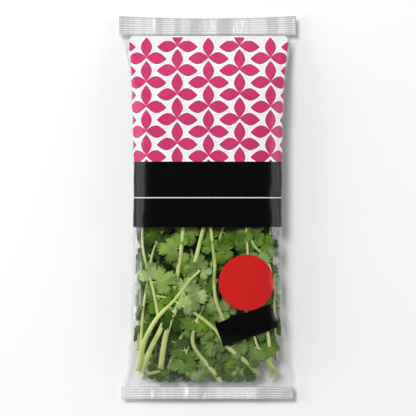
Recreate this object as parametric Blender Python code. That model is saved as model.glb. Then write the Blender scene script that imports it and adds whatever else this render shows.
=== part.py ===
"""Fresh coriander lying in a clear pillow bag that is printed on its upper half.

The bag is one sheet of film, formed into a tube whose two long edges lap along the back, and pressed flat
at both ends.  The sprigs inside are separate plants, each with its stem, its branches and its leaves in
one piece.  +Y runs to the top of the bag, +Z out of its front, and the origin lies under the middle of the
bag on the surface that the bag rests on.  Blender units are metres; the sprig tables are in millimetres.
"""

import math
import random

import bmesh
import bpy
import numpy as np

MM = 0.001

# --- The bag -------------------------------------------------------------------------------------------
BAG_LENGTH = 0.3465
TOP_SEAL = 0.0166
BOTTOM_SEAL = 0.0107
TOP_SEAL_WIDTH = 0.160
BOTTOM_SEAL_WIDTH = 0.156
BODY_WIDTH = 0.134
BODY_DEPTH = 0.042
SEAL_HEIGHT = 0.009
FILM = 0.0004
PLY_STEP = 0.0007
LEAST_HALF_DEPTH = 0.00075
LAP = 0.012
LAP_RAMP = 0.010
NARROWING = 0.028
FILLING = 0.022
FILLING_POWER = 0.8
LIFT_LENGTH = 0.060
PRESSED_FLAT = 0.0012
SECTION_POWER = 3.4
BACK_STOPS = 6
FRONT_STOPS = 14
ALONG = 19

TOP_END = BAG_LENGTH / 2
BOTTOM_END = -BAG_LENGTH / 2
TOP_INNER = TOP_END - TOP_SEAL
BOTTOM_INNER = BOTTOM_END + BOTTOM_SEAL

# --- The herbs -----------------------------------------------------------------------------------------
LEVELS = 12
BACK_CLEARANCE = 0.0019
FRONT_CLEARANCE = 0.0008
BLADE = 0.0005
PETIOLE_WIDTH = 0.0013
TIP_SHARE = 0.42
STEM_STEP = 0.021
FOOT_SHARE = 0.8
FOOT_STEP = 0.0002
BACKWARD_SHARE = 0.3
LEVEL_STEP = 0.11
SEED = 7

# Half of a blade's outline, as (degrees from its tip, share of its span), mirrored about its midrib.
SINGLE_BLADE = [(0, 0.52), (24, 0.46), (38, 0.31), (62, 0.50), (104, 0.48)]
TRIPLE_BLADE = [(0, 0.52), (20, 0.44), (38, 0.17), (64, 0.48), (104, 0.46)]
BLADE_BASE = 0.26

GREEN = (0.13, 0.27, 0.05)
STEM_GREEN = (0.36, 0.50, 0.13)
CLEAR = (0.86, 0.88, 0.88)


def end_distances(y):
    """How far y lies inside the top seal and inside the bottom seal, never below zero."""
    return max(TOP_INNER - y, 0.0), max(y - BOTTOM_INNER, 0.0)


def half_width(y):
    """Half of the bag's width at y: the seals stay flat and wide, and the filled body pulls in."""
    top, bottom = end_distances(y)
    flare = (TOP_SEAL_WIDTH - BODY_WIDTH) * math.exp(-top / NARROWING)
    flare += (BOTTOM_SEAL_WIDTH - BODY_WIDTH) * math.exp(-bottom / NARROWING)
    return (BODY_WIDTH + flare) / 2


def half_depth(y):
    """Half of the bag's thickness at y, rising steeply from each seal to the full body."""
    top, bottom = end_distances(y)
    rise = (1 - math.exp(-top / FILLING)) * (1 - math.exp(-bottom / FILLING))
    return max(BODY_DEPTH / 2 * rise**FILLING_POWER, LEAST_HALF_DEPTH)


def mid_height(y):
    """Height of the bag's middle plane at y: low at the seals, and sunk a little so that the back is flat."""
    lift = min(min(end_distances(y)) / LIFT_LENGTH, 1.0)
    lift = lift * lift * (3 - 2 * lift)
    return SEAL_HEIGHT + (BODY_DEPTH / 2 - PRESSED_FLAT - SEAL_HEIGHT) * lift


def rise_at(x, y):
    """Height of the film's middle surface above the middle plane at x, the same at front and back."""
    share = min(abs(x) / half_width(y), 1.0)
    return half_depth(y) * (1 - share**SECTION_POWER) ** (1 / SECTION_POWER)


def level_height(x, y, level, radius=0.0):
    """Height of a level between the back and the front of the bag, kept radius inside both."""
    back = max(mid_height(y) - rise_at(x, y), FILM / 2) + BACK_CLEARANCE
    front = mid_height(y) + rise_at(x, y) - FRONT_CLEARANCE
    height = back + (front - back) * (level + 0.5) / LEVELS
    return min(max(height, back + radius), max(front - radius, back + radius))


# --- The film ------------------------------------------------------------------------------------------


def section(y):
    """The film's middle line around the bag at y, from one lapped edge to the other, by way of both folds."""
    angles = np.radians(np.linspace(-90, 270, 721))
    a, b = half_width(y), half_depth(y)
    power = SECTION_POWER
    reach = (np.abs(np.cos(angles) / a) ** power + np.abs(np.sin(angles) / b) ** power) ** (-1 / power)
    # The loop runs from the back's centre round the left side, over the front and back along the right.
    ring = np.stack([-reach * np.cos(angles), mid_height(y) + reach * np.sin(angles)], axis=1)
    ring[:, 1] = np.maximum(ring[:, 1], FILM / 2)
    run = np.concatenate([[0], np.cumsum(np.linalg.norm(np.diff(ring, axis=0), axis=1))])
    total = run[-1]
    left, right = run[180], run[540]
    stops = np.concatenate([[-LAP / 2, 0, LAP / 2], np.linspace(LAP / 2 + LAP_RAMP, left, BACK_STOPS),
                            np.linspace(left, right, FRONT_STOPS)[1:-1],
                            np.linspace(right, total - LAP, BACK_STOPS), [total, total + LAP / 2]])
    wrapped = np.mod(stops, total)
    wrapped[np.isclose(stops, total)] = total
    points = np.stack([np.interp(wrapped, run, ring[:, 0]), np.interp(wrapped, run, ring[:, 1])], axis=1)
    points[:3, 1] += PLY_STEP
    return points


def offset_line(points, distance):
    """The line moved sideways by distance, along its own normals."""
    tangents = np.gradient(points, axis=0)
    tangents /= np.linalg.norm(tangents, axis=1)[:, None]
    normals = np.stack([tangents[:, 1], -tangents[:, 0]], axis=1)
    return points + distance * normals


def stations():
    """The places along the bag where its section is drawn, closer together near the seals."""
    t = np.linspace(0, 1, ALONG)
    eased = 0.5 - 0.5 * np.cos(math.pi * t)
    body = BOTTOM_INNER + (TOP_INNER - BOTTOM_INNER) * (0.35 * t + 0.65 * eased)
    return [BOTTOM_END, *body, TOP_END]


def build_film():
    """The bag: a thin sheet wrapped round, with its edges lapped at the back, left apart by a hair."""
    mesh = bmesh.new()
    rows = []
    for y in stations():
        line = section(y)
        outer = [mesh.verts.new((x, y, z)) for x, z in offset_line(line, -FILM / 2)]
        inner = [mesh.verts.new((x, y, z)) for x, z in offset_line(line, FILM / 2)]
        rows.append((outer, inner))
    for (outer_a, inner_a), (outer_b, inner_b) in zip(rows, rows[1:]):
        for i in range(len(outer_a) - 1):
            mesh.faces.new((outer_a[i], outer_a[i + 1], outer_b[i + 1], outer_b[i]))
            mesh.faces.new((inner_a[i + 1], inner_a[i], inner_b[i], inner_b[i + 1]))
        mesh.faces.new((inner_a[0], outer_a[0], outer_b[0], inner_b[0]))
        mesh.faces.new((outer_a[-1], inner_a[-1], inner_b[-1], outer_b[-1]))
    for i in range(len(rows[0][0]) - 1):
        outer, inner = rows[0]
        mesh.faces.new((outer[i], inner[i], inner[i + 1], outer[i + 1]))
        outer, inner = rows[-1]
        mesh.faces.new((outer[i + 1], inner[i + 1], inner[i], outer[i]))
    film = object_from(mesh, "film_bag", make_material("clear_film", CLEAR, 0.15, alpha=0.35))
    film.data.shade_smooth()
    return film


# --- Shared makers -------------------------------------------------------------------------------------


def make_material(name, colour, roughness, alpha=1.0):
    """A Principled material, made once for each name."""
    if name in bpy.data.materials:
        return bpy.data.materials[name]
    material = bpy.data.materials.new(name)
    material.use_nodes = True
    shader = material.node_tree.nodes["Principled BSDF"]
    shader.inputs["Base Color"].default_value = (*colour, 1)
    shader.inputs["Roughness"].default_value = roughness
    shader.inputs["Metallic"].default_value = 0.0
    shader.inputs["Alpha"].default_value = alpha
    return material


def object_from(mesh, name, material):
    """A scene object that takes over a bmesh."""
    data = bpy.data.meshes.new(name)
    mesh.to_mesh(data)
    mesh.free()
    data.materials.append(material)
    made = bpy.data.objects.new(name, data)
    bpy.context.scene.collection.objects.link(made)
    return made


def smooth_route(route, step=STEM_STEP):
    """Points about step apart on one smooth curve through the route, which is in metres."""
    ends = [2 * route[0] - route[1], *route, 2 * route[-1] - route[-2]]
    dense = []
    for p0, p1, p2, p3 in zip(ends, ends[1:], ends[2:], ends[3:]):
        for t in np.linspace(0, 1, 12, endpoint=False):
            dense.append(0.5 * (2 * p1 + (p2 - p0) * t + (2 * p0 - 5 * p1 + 4 * p2 - p3) * t**2
                                + (3 * p1 - p0 - 3 * p2 + p3) * t**3))
    dense = np.array([*dense, route[-1]])
    run = np.concatenate([[0], np.cumsum(np.linalg.norm(np.diff(dense, axis=0), axis=1))])
    stops = np.linspace(0, run[-1], max(3, round(run[-1] / step) + 1))
    return np.stack([np.interp(stops, run, dense[:, 0]), np.interp(stops, run, dense[:, 1])], axis=1)


def add_leaf(mesh, centre, heading, span, outline, level, foot):
    """Adds a lobed blade that lies on its level and its stalk down to foot, as one closed thin plate."""
    base = centre - BLADE_BASE * span * np.array([math.cos(heading), math.sin(heading)])
    along = (foot[:2] - base) / np.linalg.norm(foot[:2] - base)
    side = np.array([-along[1], along[0]]) * PETIOLE_WIDTH / 2
    plan = []
    mirrored = [(-angle, share) for angle, share in outline[:0:-1]]
    for angle, share in [*outline, *mirrored]:
        direction = heading + math.radians(angle)
        plan.append(centre + share * span * np.array([math.cos(direction), math.sin(direction)]))
    plan[len(outline):len(outline)] = [base - side, base + side]
    neck = len(outline) + 1
    points = [(x, y, level_height(x, y, level, BLADE)) for x, y in [centre, *plan]]
    points += [(*(foot[:2] - side), foot[2]), (*(foot[:2] + side), foot[2])]
    top, bottom = ([mesh.verts.new((x, y, z + lift)) for x, y, z in points] for lift in (BLADE / 2, -BLADE / 2))
    ring = list(range(1, len(plan) + 1))
    for a, b in zip(ring, ring[1:] + ring[:1]):
        mesh.faces.new((top[0], top[a], top[b]))
        mesh.faces.new((bottom[0], bottom[b], bottom[a]))
    stalk = [neck, len(points) - 2, len(points) - 1, neck + 1]
    mesh.faces.new([top[i] for i in stalk])
    mesh.faces.new([bottom[i] for i in reversed(stalk)])
    border = [*ring[:neck], *stalk[1:3], *ring[neck:]]
    for a, b in zip(border, border[1:] + border[:1]):
        mesh.faces.new((top[b], top[a], bottom[a], bottom[b]))


def centre_line(route, radii_span, level):
    """The centre points and the radii of a stalk that runs along a plan route in millimetres."""
    plan = smooth_route([np.array(point) * MM for point in route])
    radii = np.linspace(*radii_span, len(plan)) * MM
    return np.array([(x, y, level_height(x, y, level, radius)) for (x, y), radius in zip(plan, radii)]), radii


def stalk_tube(name, line, radii):
    """A tapered round stalk along its centre points, as a mesh object."""
    curve = bpy.data.curves.new(name, "CURVE")
    curve.dimensions = "3D"
    curve.bevel_depth = 1.0
    curve.bevel_resolution = 1
    curve.use_fill_caps = True
    spline = curve.splines.new("POLY")
    spline.points.add(len(line) - 1)
    for point, centre, radius in zip(spline.points, line, radii):
        point.co = (*centre, 1)
        point.radius = radius
    guide = bpy.data.objects.new(name + "_guide", curve)
    bpy.context.scene.collection.objects.link(guide)
    bpy.context.view_layer.update()
    graph = bpy.context.evaluated_depsgraph_get()
    data = bpy.data.meshes.new_from_object(guide.evaluated_get(graph))
    bpy.data.objects.remove(guide)
    mesh = bmesh.new()
    mesh.from_mesh(data)
    bmesh.ops.remove_doubles(mesh, verts=mesh.verts, dist=1e-6)
    bmesh.ops.recalc_face_normals(mesh, faces=mesh.faces)
    tube = object_from(mesh, name, make_material("stem", STEM_GREEN, 0.5))
    tube.data.shade_smooth()
    return tube


def join_to(body, helper):
    """Joins a helper shape to the sprig with a Boolean union, and leaves one closed mesh."""
    union = body.modifiers.new(helper.name, "BOOLEAN")
    union.operation = "UNION"
    union.solver = "EXACT"
    union.use_self = True
    union.object = helper
    bpy.context.view_layer.update()
    graph = bpy.context.evaluated_depsgraph_get()
    mesh = bmesh.new()
    mesh.from_mesh(bpy.data.meshes.new_from_object(body.evaluated_get(graph)))
    keep_largest(mesh)
    body.modifiers.clear()
    body.data.materials.append(helper.data.materials[0])
    mesh.to_mesh(body.data)
    mesh.free()
    bpy.data.objects.remove(helper)


def keep_largest(mesh):
    """Removes the slivers that a union can leave beside its body."""
    waiting = set(mesh.faces)
    largest = set()
    while waiting:
        island, edge = set(), {waiting.pop()}
        while edge:
            island |= edge
            edge = {near for face in edge for side in face.edges if side.is_manifold
                    for near in side.link_faces} - island
        waiting -= island
        largest = max(largest, island, key=len)
    bmesh.ops.delete(mesh, geom=[face for face in mesh.faces if face not in largest], context="FACES")


def build_sprig(name, level, radius, stem, leaves, branches=()):
    """One plant: a tapered stem, its branches, and its leaves, joined into one solid.

    stem and branches are plan routes in millimetres from the cut end or the fork, and radius is the cut
    end's.  A leaf is (x, y, heading in degrees, span), with its outline after them where it isn't single.
    """
    routes = [(radius, stem), *branches]
    stalks = [centre_line(route, (thick, thick * TIP_SHARE), level) for thick, route in routes]
    body = stalk_tube(name, *stalks[0])
    for number, stalk in enumerate(stalks[1:], start=1):
        join_to(body, stalk_tube(f"{name}_branch_{number}", *stalk))
    places = np.array([p + FOOT_SHARE * (q - p) for line, _ in stalks for p, q in zip(line, line[1:])])
    foliage = bmesh.new()
    for number, (x, y, turn, span, *outline) in enumerate(leaves):
        centre, heading, span = np.array((x, y)) * MM, math.radians(turn), span * MM
        forward = np.array([math.cos(heading), math.sin(heading)])
        gaps = places[:, :2] - (centre - BLADE_BASE * span * forward)
        distances = np.linalg.norm(gaps, axis=1)
        # The stalk leaves from the nearest place behind the blade, so that it doesn't fold back under it.
        behind = gaps @ forward < -BACKWARD_SHARE * distances
        foot = places[np.argmin(np.where(behind, distances, np.inf))]
        # Leaves that share a foot lie at slightly different heights, so that no two faces coincide.
        step = number % 3 - 1
        add_leaf(foliage, centre, heading, span, outline[0] if outline else SINGLE_BLADE,
                 level + step * LEVEL_STEP, foot + np.array([0, 0, step * FOOT_STEP]))
    bmesh.ops.recalc_face_normals(foliage, faces=foliage.faces)
    join_to(body, object_from(foliage, name + "_leaves", make_material("leaf", GREEN, 0.55)))
    return body


# --- The sprigs that lie under the clear window, laid by hand ------------------------------------------

FRONT_SPRIGS = {
    "forked_sprig": dict(
        level=10.2, radius=2.2,
        stem=[(-60.5, -143), (-57, -125), (-52, -110), (-43.9, -97.4), (-30, -83), (-16.6, -66), (-6.5, -56)],
        branches=[(1.4, [(-44.2, -97.6), (-48.3, -75), (-54.3, -53), (-58.5, -29), (-56, 0), (-48, 36)])],
        leaves=[(-7.4, -47.7, 80, 18), (-8.4, -80.5, 5, 26), (-28.2, -103.5, -70, 25),
                (-37, -63, 25, 26), (-44, 52, 70, 26), (-56, 22, 120, 17)],
    ),
    "left_long_sprig": dict(
        level=8.2, radius=2.1,
        stem=[(-57.5, -149), (-54, -136), (-49, -122.7), (-41.9, -108.9), (-35, -90), (-27, -60), (-22, -20),
              (-21, 30), (-17, 78)],
        leaves=[(-35.5, -38, 190, 24), (-13, -22, 20, 18), (-36, 4, 150, 24), (-6, 30, 40, 24),
                (-34, 52, 140, 26), (-14, 94, 80, 28)],
    ),
    "thick_sprig": dict(
        level=9.2, radius=2.35,
        stem=[(-41.9, -144.5), (-39.8, -128.2), (-36.5, -111.7), (-29, -92), (-17, -66), (-7, -32), (4, 20),
              (10, 66)],
        leaves=[(-22, -51, 150, 15), (16, 44, 40, 24), (-4, 68, 120, 22), (14, 84, 70, 26)],
    ),
    "middle_sprig": dict(
        level=7.6, radius=1.9,
        stem=[(-35, -145), (-30, -131.5), (-23, -115), (-12, -90), (0, -62), (13, -20), (24, 30), (28, 84)],
        leaves=[(-11, -66, 130, 20), (26, -22, 20, 24), (6, -10, 130, 22), (38, 26, 20, 26),
                (14, 58, 120, 24), (30, 102, 80, 28)],
    ),
    "crossing_sprig": dict(
        level=6.2, radius=2.2,
        stem=[(47, -151), (31.2, -135.5), (16.4, -123.4), (7.7, -109.8), (-12.2, -93.7), (-33, -82), (-46, -79)],
        leaves=[(-50, -88, 220, 20), (29, -116, 60, 24), (-20, -76, 60, 22)],
    ),
    "low_left_sprig": dict(
        level=5.6, radius=1.8,
        stem=[(-60, -151.5), (-47.5, -149), (-32, -145.5), (-18, -142.5)],
        leaves=[(-42.5, -141, 120, 18), (-19, -151.5, -80, 17), (-8, -141, 10, 18)],
    ),
    "front_centre_sprig": dict(
        level=9.2, radius=2.1,
        stem=[(11, -153), (2, -144), (-8.4, -131), (-13.5, -119), (-9, -100), (0, -82), (9, -64)],
        leaves=[(-15.5, -110.5, -100, 21), (0.5, -112, -60, 19), (-3, -74, 120, 17)],
    ),
    "right_upright_sprig": dict(
        level=8.4, radius=1.8,
        stem=[(57.5, -154), (55.8, -134), (54.6, -117.6), (50, -98), (42, -72), (36, -40), (34, 0)],
        leaves=[(58, -118, 60, 14), (40, -96, 160, 22), (48, -48, 30, 24), (46, 8, 40, 24), (24, 4, 130, 20)],
    ),
    "right_slanting_sprig": dict(
        level=11, radius=1.8,
        stem=[(63, -150), (58, -142.5), (50.7, -134.2), (44, -122), (40, -108)],
        leaves=[(41, -136, -100, 23), (50, -102, 40, 18)],
    ),
    "window_top_sprig": dict(
        level=10, radius=1.9,
        stem=[(19, -112), (12, -95), (7, -80), (6, -62), (6.5, -50.7), (4.8, -37), (2.6, -18), (-6, 20),
              (-20, 62)],
        leaves=[(1, -91, 200, 16), (20, -93, -20, 17), (16, -35, 50, 21), (-18, 80, 110, 24), (-2, 44, 60, 22)],
    ),
    "low_thin_sprig": dict(
        level=11, radius=1.0,
        stem=[(-29.5, -147), (-25, -140), (-20.3, -133), (-16.8, -124)],
        leaves=[(-27.5, -130, 200, 16), (-16.5, -146, -60, 19)],
    ),
    "low_right_sprig": dict(
        level=9.6, radius=1.1,
        stem=[(34, -108), (33, -122), (29, -138), (27, -147)],
        leaves=[(36.5, -151, -50, 20), (20, -139, -110, 18)],
    ),
    "hanging_sprig": dict(
        level=7.6, radius=1.2,
        stem=[(3, -98), (7, -110), (11, -122)],
        leaves=[(10, -134, -95, 20), (22, -124, -30, 15)],
    ),
    "right_top_sprig": dict(
        level=10.6, radius=1.5,
        stem=[(58, -72), (56, -56), (51, -44), (41, -33), (37, -16), (41, 12), (46, 50)],
        leaves=[(53, -31, 50, 20), (29, -25, 130, 23), (54, 26, 60, 19), (50, 66, 70, 24), (34, 40, 130, 20)],
    ),
    "left_edge_sprig": dict(
        level=6.8, radius=1.5,
        stem=[(-61.5, -137), (-60, -121.6), (-58, -93.7), (-55.5, -77), (-52.5, -62), (-50.3, -45),
              (-45.3, -30), (-39, -16), (-38, 20), (-40, 60)],
        leaves=[(-54.5, -36, 100, 17), (-49.5, -101, 20, 16), (-50, -8, 140, 20), (-52, 34, 130, 22),
                (-38, 78, 90, 26)],
    ),
    "far_left_sprig": dict(
        level=4.6, radius=1.3,
        stem=[(-63, -128), (-61, -100), (-60.5, -70), (-59.5, -40), (-57, 0), (-52, 44)],
        leaves=[(-58, -84, 20, 15), (-51.5, -52, 40, 20), (-52, -118, 30, 18), (-48, 62, 70, 26)],
    ),
    "far_right_sprig": dict(
        level=6.4, radius=1.3,
        stem=[(62, -138), (60.5, -110), (60, -84), (59.5, -50), (56, -20), (57, 20), (50, 72)],
        leaves=[(56, -98, 140, 15), (57, -66, 130, 20), (57.5, -28, 60, 14), (46, 88, 100, 26), (55, 44, 160, 20)],
    ),
}

# --- The sprigs behind them, laid in slanting lanes ----------------------------------------------------

BACK_LANES = [
    # level, foot x, tip x, foot y, tip y
    (0.2, -46, -50, -140, 118),
    (0.2, 2, -6, -146, 128),
    (0.2, 48, 44, -132, 112),
    (1.5, -24, -30, -148, 132),
    (1.5, 26, 22, -144, 124),
    (2.7, -52, -16, -120, 136),
    (2.7, -4, 34, -138, 136),
    (3.9, 54, 12, -128, 140),
    (3.9, 6, -44, -150, 126),
    (5.1, 36, 52, -116, 126),
]
LANE_LEAVES = 4
LANE_SPAN = 34
LANE_RADIUS = 1.7
LANE_BOW = 4
LANE_MARGIN = 3
LANE_SIDE = 12


def lane_sprig(lane, dice):
    """The build_sprig values of a sprig that runs the length of the bag, with leaves to left and right."""
    level, foot_x, tip_x, foot_y, tip_y = lane
    bow = dice.uniform(-LANE_BOW, LANE_BOW)
    stem = []
    for t in (0, 0.25, 0.5, 0.75, 1):
        stem.append((foot_x + (tip_x - foot_x) * t + bow * math.sin(math.pi * t), foot_y + (tip_y - foot_y) * t))
    leaves = []
    for number in range(LANE_LEAVES):
        t = (number + 0.7) / LANE_LEAVES
        side = 1 if number % 2 else -1
        x = foot_x + (tip_x - foot_x) * t + side * LANE_SIDE
        y = foot_y + (tip_y - foot_y) * t + 8
        heading = 90 - side * dice.uniform(35, 65)
        limit = half_width(y * MM) / MM - LANE_SPAN / 2 - LANE_MARGIN
        leaves.append((min(max(x, -limit), limit), y, heading, LANE_SPAN, TRIPLE_BLADE))
    return dict(level=level, radius=LANE_RADIUS, stem=stem, leaves=leaves)


def main():
    """Clears the scene and builds the bag and everything in it."""
    for old in list(bpy.data.objects):
        bpy.data.objects.remove(old)
    build_film()
    for name, values in FRONT_SPRIGS.items():
        build_sprig(name, **values)
    dice = random.Random(SEED)
    for number, lane in enumerate(BACK_LANES, start=1):
        build_sprig(f"back_sprig_{number:02d}", **lane_sprig(lane, dice))


main()
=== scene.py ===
import logging
import math
import random
from dataclasses import dataclass, field
from enum import Enum

import bpy
import numpy as np
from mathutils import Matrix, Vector


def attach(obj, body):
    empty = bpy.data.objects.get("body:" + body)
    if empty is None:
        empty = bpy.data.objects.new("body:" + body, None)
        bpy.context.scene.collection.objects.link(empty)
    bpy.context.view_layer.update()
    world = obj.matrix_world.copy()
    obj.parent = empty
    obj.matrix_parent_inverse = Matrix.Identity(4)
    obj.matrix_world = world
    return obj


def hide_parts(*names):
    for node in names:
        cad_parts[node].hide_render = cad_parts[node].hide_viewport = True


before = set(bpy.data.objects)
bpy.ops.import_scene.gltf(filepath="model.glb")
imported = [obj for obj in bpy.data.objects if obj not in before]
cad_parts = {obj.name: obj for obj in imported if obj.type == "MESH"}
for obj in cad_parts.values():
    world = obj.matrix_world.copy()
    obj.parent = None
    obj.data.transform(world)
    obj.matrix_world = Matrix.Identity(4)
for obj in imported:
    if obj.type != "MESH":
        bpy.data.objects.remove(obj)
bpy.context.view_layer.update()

# Fresh coriander in a clear pillow bag that is printed on its upper half.  The bag is one sheet of film,
# lapped along its back and crimped flat at both ends.  +Y runs to the bag's top end and +Z out of its
# front.  Lengths are in metres, except in the sprig tables, which are in millimetres and degrees.

LOG = logging.getLogger("coriander_bag")
MM = 0.001
ROOT = "root"

Colour = tuple[float, float, float]
Socket = bpy.types.NodeSocket
Value = float | Socket


def linear(red: int, green: int, blue: int) -> Colour:
    """Turns a display colour into the linear colour that shaders use.

    Args:
        red: Red from 0 to 255.
        green: Green from 0 to 255.
        blue: Blue from 0 to 255.

    Returns:
        The linear colour.
    """
    def channel(level: int) -> float:
        """One channel of the display curve, undone."""
        share = level / 255
        return share / 12.92 if share <= 0.04045 else ((share + 0.055) / 1.055) ** 2.4

    return channel(red), channel(green), channel(blue)


def value_noise(x: np.ndarray, y: np.ndarray, seed: int) -> np.ndarray:
    """Smooth seeded noise over a plane, with features one unit apart.

    Args:
        x: First coordinates.
        y: Second coordinates, of the same shape.
        seed: Picks the pattern.

    Returns:
        Values from -1 to 1, of the same shape.
    """
    table = np.random.default_rng(seed).uniform(-1, 1, (64, 64))
    column, row = np.floor(x).astype(int), np.floor(y).astype(int)
    across, along = x - column, y - row
    across, along = across**2 * (3 - 2 * across), along**2 * (3 - 2 * along)

    def corner(i: int, j: int) -> np.ndarray:
        """The table's value at one corner of each cell."""
        return table[(column + i) % 64, (row + j) % 64]

    low = corner(0, 0) * (1 - across) + corner(1, 0) * across
    high = corner(0, 1) * (1 - across) + corner(1, 1) * across
    return low * (1 - along) + high * along


# --- Shader trees --------------------------------------------------------------------------------------


class ShaderTree:
    """A material's node tree, with short calls for the nodes that the finishes use."""

    def __init__(self, name: str) -> None:
        """Makes an empty material.

        Args:
            name: The material's name.
        """
        self.material = bpy.data.materials.new(name)
        self.material.use_nodes = True
        self.tree = self.material.node_tree
        self.tree.nodes.clear()
        self.output = self.tree.nodes.new("ShaderNodeOutputMaterial")

    def put(self, socket: Socket, value: Value | Colour) -> None:
        """Links a socket to another, or sets its value.

        Args:
            socket: The input to fill.
            value: A socket, a number, or a colour.
        """
        if isinstance(value, bpy.types.NodeSocket):
            self.tree.links.new(value, socket)
        elif isinstance(value, tuple) and len(socket.default_value) == 4:
            socket.default_value = (*value, 1.0)
        else:
            socket.default_value = value

    def math(self, operation: str, first: Value, second: Value = 0.0, third: Value = 0.0,
             clamp: bool = False) -> Socket:
        """A Math node.

        Args:
            operation: The node's operation.
            first: Its first input.
            second: Its second input.
            third: Its third input, where it has one.
            clamp: Whether the result is kept from 0 to 1.

        Returns:
            The result.
        """
        node = self.tree.nodes.new("ShaderNodeMath")
        node.operation = operation
        node.use_clamp = clamp
        self.put(node.inputs[0], first)
        self.put(node.inputs[1], second)
        self.put(node.inputs[2], third)
        return node.outputs[0]

    def wrap(self, value: Value, half: float) -> Socket:
        """A value folded into the range from -half to half, over and over."""
        return self.math("WRAP", value, half, -half)

    def blend(self, share: Value, first: Value | Colour, second: Value | Colour, mode: str = "MIX") -> Socket:
        """A colour mix.

        Args:
            share: How much of the second colour shows.
            first: The first colour.
            second: The second colour.
            mode: The way they mix.

        Returns:
            The mixed colour.
        """
        node = self.tree.nodes.new("ShaderNodeMix")
        node.data_type = "RGBA"
        node.blend_type = mode
        self.put(node.inputs[0], share)
        self.put(node.inputs[6], first)
        self.put(node.inputs[7], second)
        return node.outputs[2]

    def step(self, value: Value, low: float, high: float) -> Socket:
        """A smooth rise from 0 at low to 1 at high, or a fall where low is the greater."""
        node = self.tree.nodes.new("ShaderNodeMapRange")
        node.interpolation_type = "SMOOTHSTEP"
        ends = (min(low, high), max(low, high), float(low > high), float(low < high))
        for name, end in zip(("From Min", "From Max", "To Min", "To Max"), ends):
            node.inputs[name].default_value = end
        self.put(node.inputs["Value"], value)
        return node.outputs["Result"]

    def within(self, value: Value, low: float, high: float, edge: float) -> Socket:
        """1 where a value lies between low and high, with soft edges this wide."""
        return self.math("MULTIPLY", self.step(value, low - edge, low + edge),
                         self.step(value, high + edge, high - edge))

    def sheet_place(self, name: str) -> tuple[Socket, Socket]:
        """The two coordinates of a named UV map."""
        node = self.tree.nodes.new("ShaderNodeUVMap")
        node.uv_map = name
        split = self.tree.nodes.new("ShaderNodeSeparateXYZ")
        self.tree.links.new(node.outputs[0], split.inputs[0])
        return split.outputs[0], split.outputs[1]

    def attribute(self, name: str) -> Socket:
        """A named number that the mesh carries."""
        node = self.tree.nodes.new("ShaderNodeAttribute")
        node.attribute_name = name
        return node.outputs["Fac"]

    def object_place(self, stretch: Colour = (1.0, 1.0, 1.0)) -> Socket:
        """Object coordinates, stretched along each axis."""
        place = self.tree.nodes.new("ShaderNodeTexCoord")
        mapping = self.tree.nodes.new("ShaderNodeMapping")
        mapping.inputs["Scale"].default_value = stretch
        self.tree.links.new(place.outputs["Object"], mapping.inputs["Vector"])
        return mapping.outputs[0]

    def joined(self, x: Value, y: Value) -> Socket:
        """A vector made from two numbers."""
        node = self.tree.nodes.new("ShaderNodeCombineXYZ")
        self.put(node.inputs[0], x)
        self.put(node.inputs[1], y)
        return node.outputs[0]

    def noise(self, place: Socket, scale: float, detail: float = 3.0, roughness: float = 0.55) -> Socket:
        """Noise from 0 to 1 at a place."""
        node = self.tree.nodes.new("ShaderNodeTexNoise")
        self.tree.links.new(place, node.inputs["Vector"])
        node.inputs["Scale"].default_value = scale
        node.inputs["Detail"].default_value = detail
        node.inputs["Roughness"].default_value = roughness
        return node.outputs["Fac"]

    def bump(self, height: Socket, strength: float, distance: float) -> Socket:
        """A normal bent by a height."""
        node = self.tree.nodes.new("ShaderNodeBump")
        node.inputs["Strength"].default_value = strength
        node.inputs["Distance"].default_value = distance
        self.tree.links.new(height, node.inputs["Height"])
        return node.outputs[0]

    def shader(self, kind: str, **values: Value | Colour) -> Socket:
        """A shader node.

        Args:
            kind: The node's type.
            **values: Its inputs, with underscores for spaces.

        Returns:
            Its shader output.
        """
        node = self.tree.nodes.new(kind)
        for name, value in values.items():
            self.put(node.inputs[name.replace("_", " ")], value)
        return node.outputs[0]

    def mix_shaders(self, share: Value, first: Socket, second: Socket) -> Socket:
        """Two shaders mixed, with share of the second."""
        node = self.tree.nodes.new("ShaderNodeMixShader")
        self.put(node.inputs[0], share)
        self.tree.links.new(first, node.inputs[1])
        self.tree.links.new(second, node.inputs[2])
        return node.outputs[0]

    def finish(self, surface: Socket) -> bpy.types.Material:
        """Sends a shader to the output and returns the material."""
        self.tree.links.new(surface, self.output.inputs["Surface"])
        return self.material


# --- The bag's shape -----------------------------------------------------------------------------------


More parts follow.
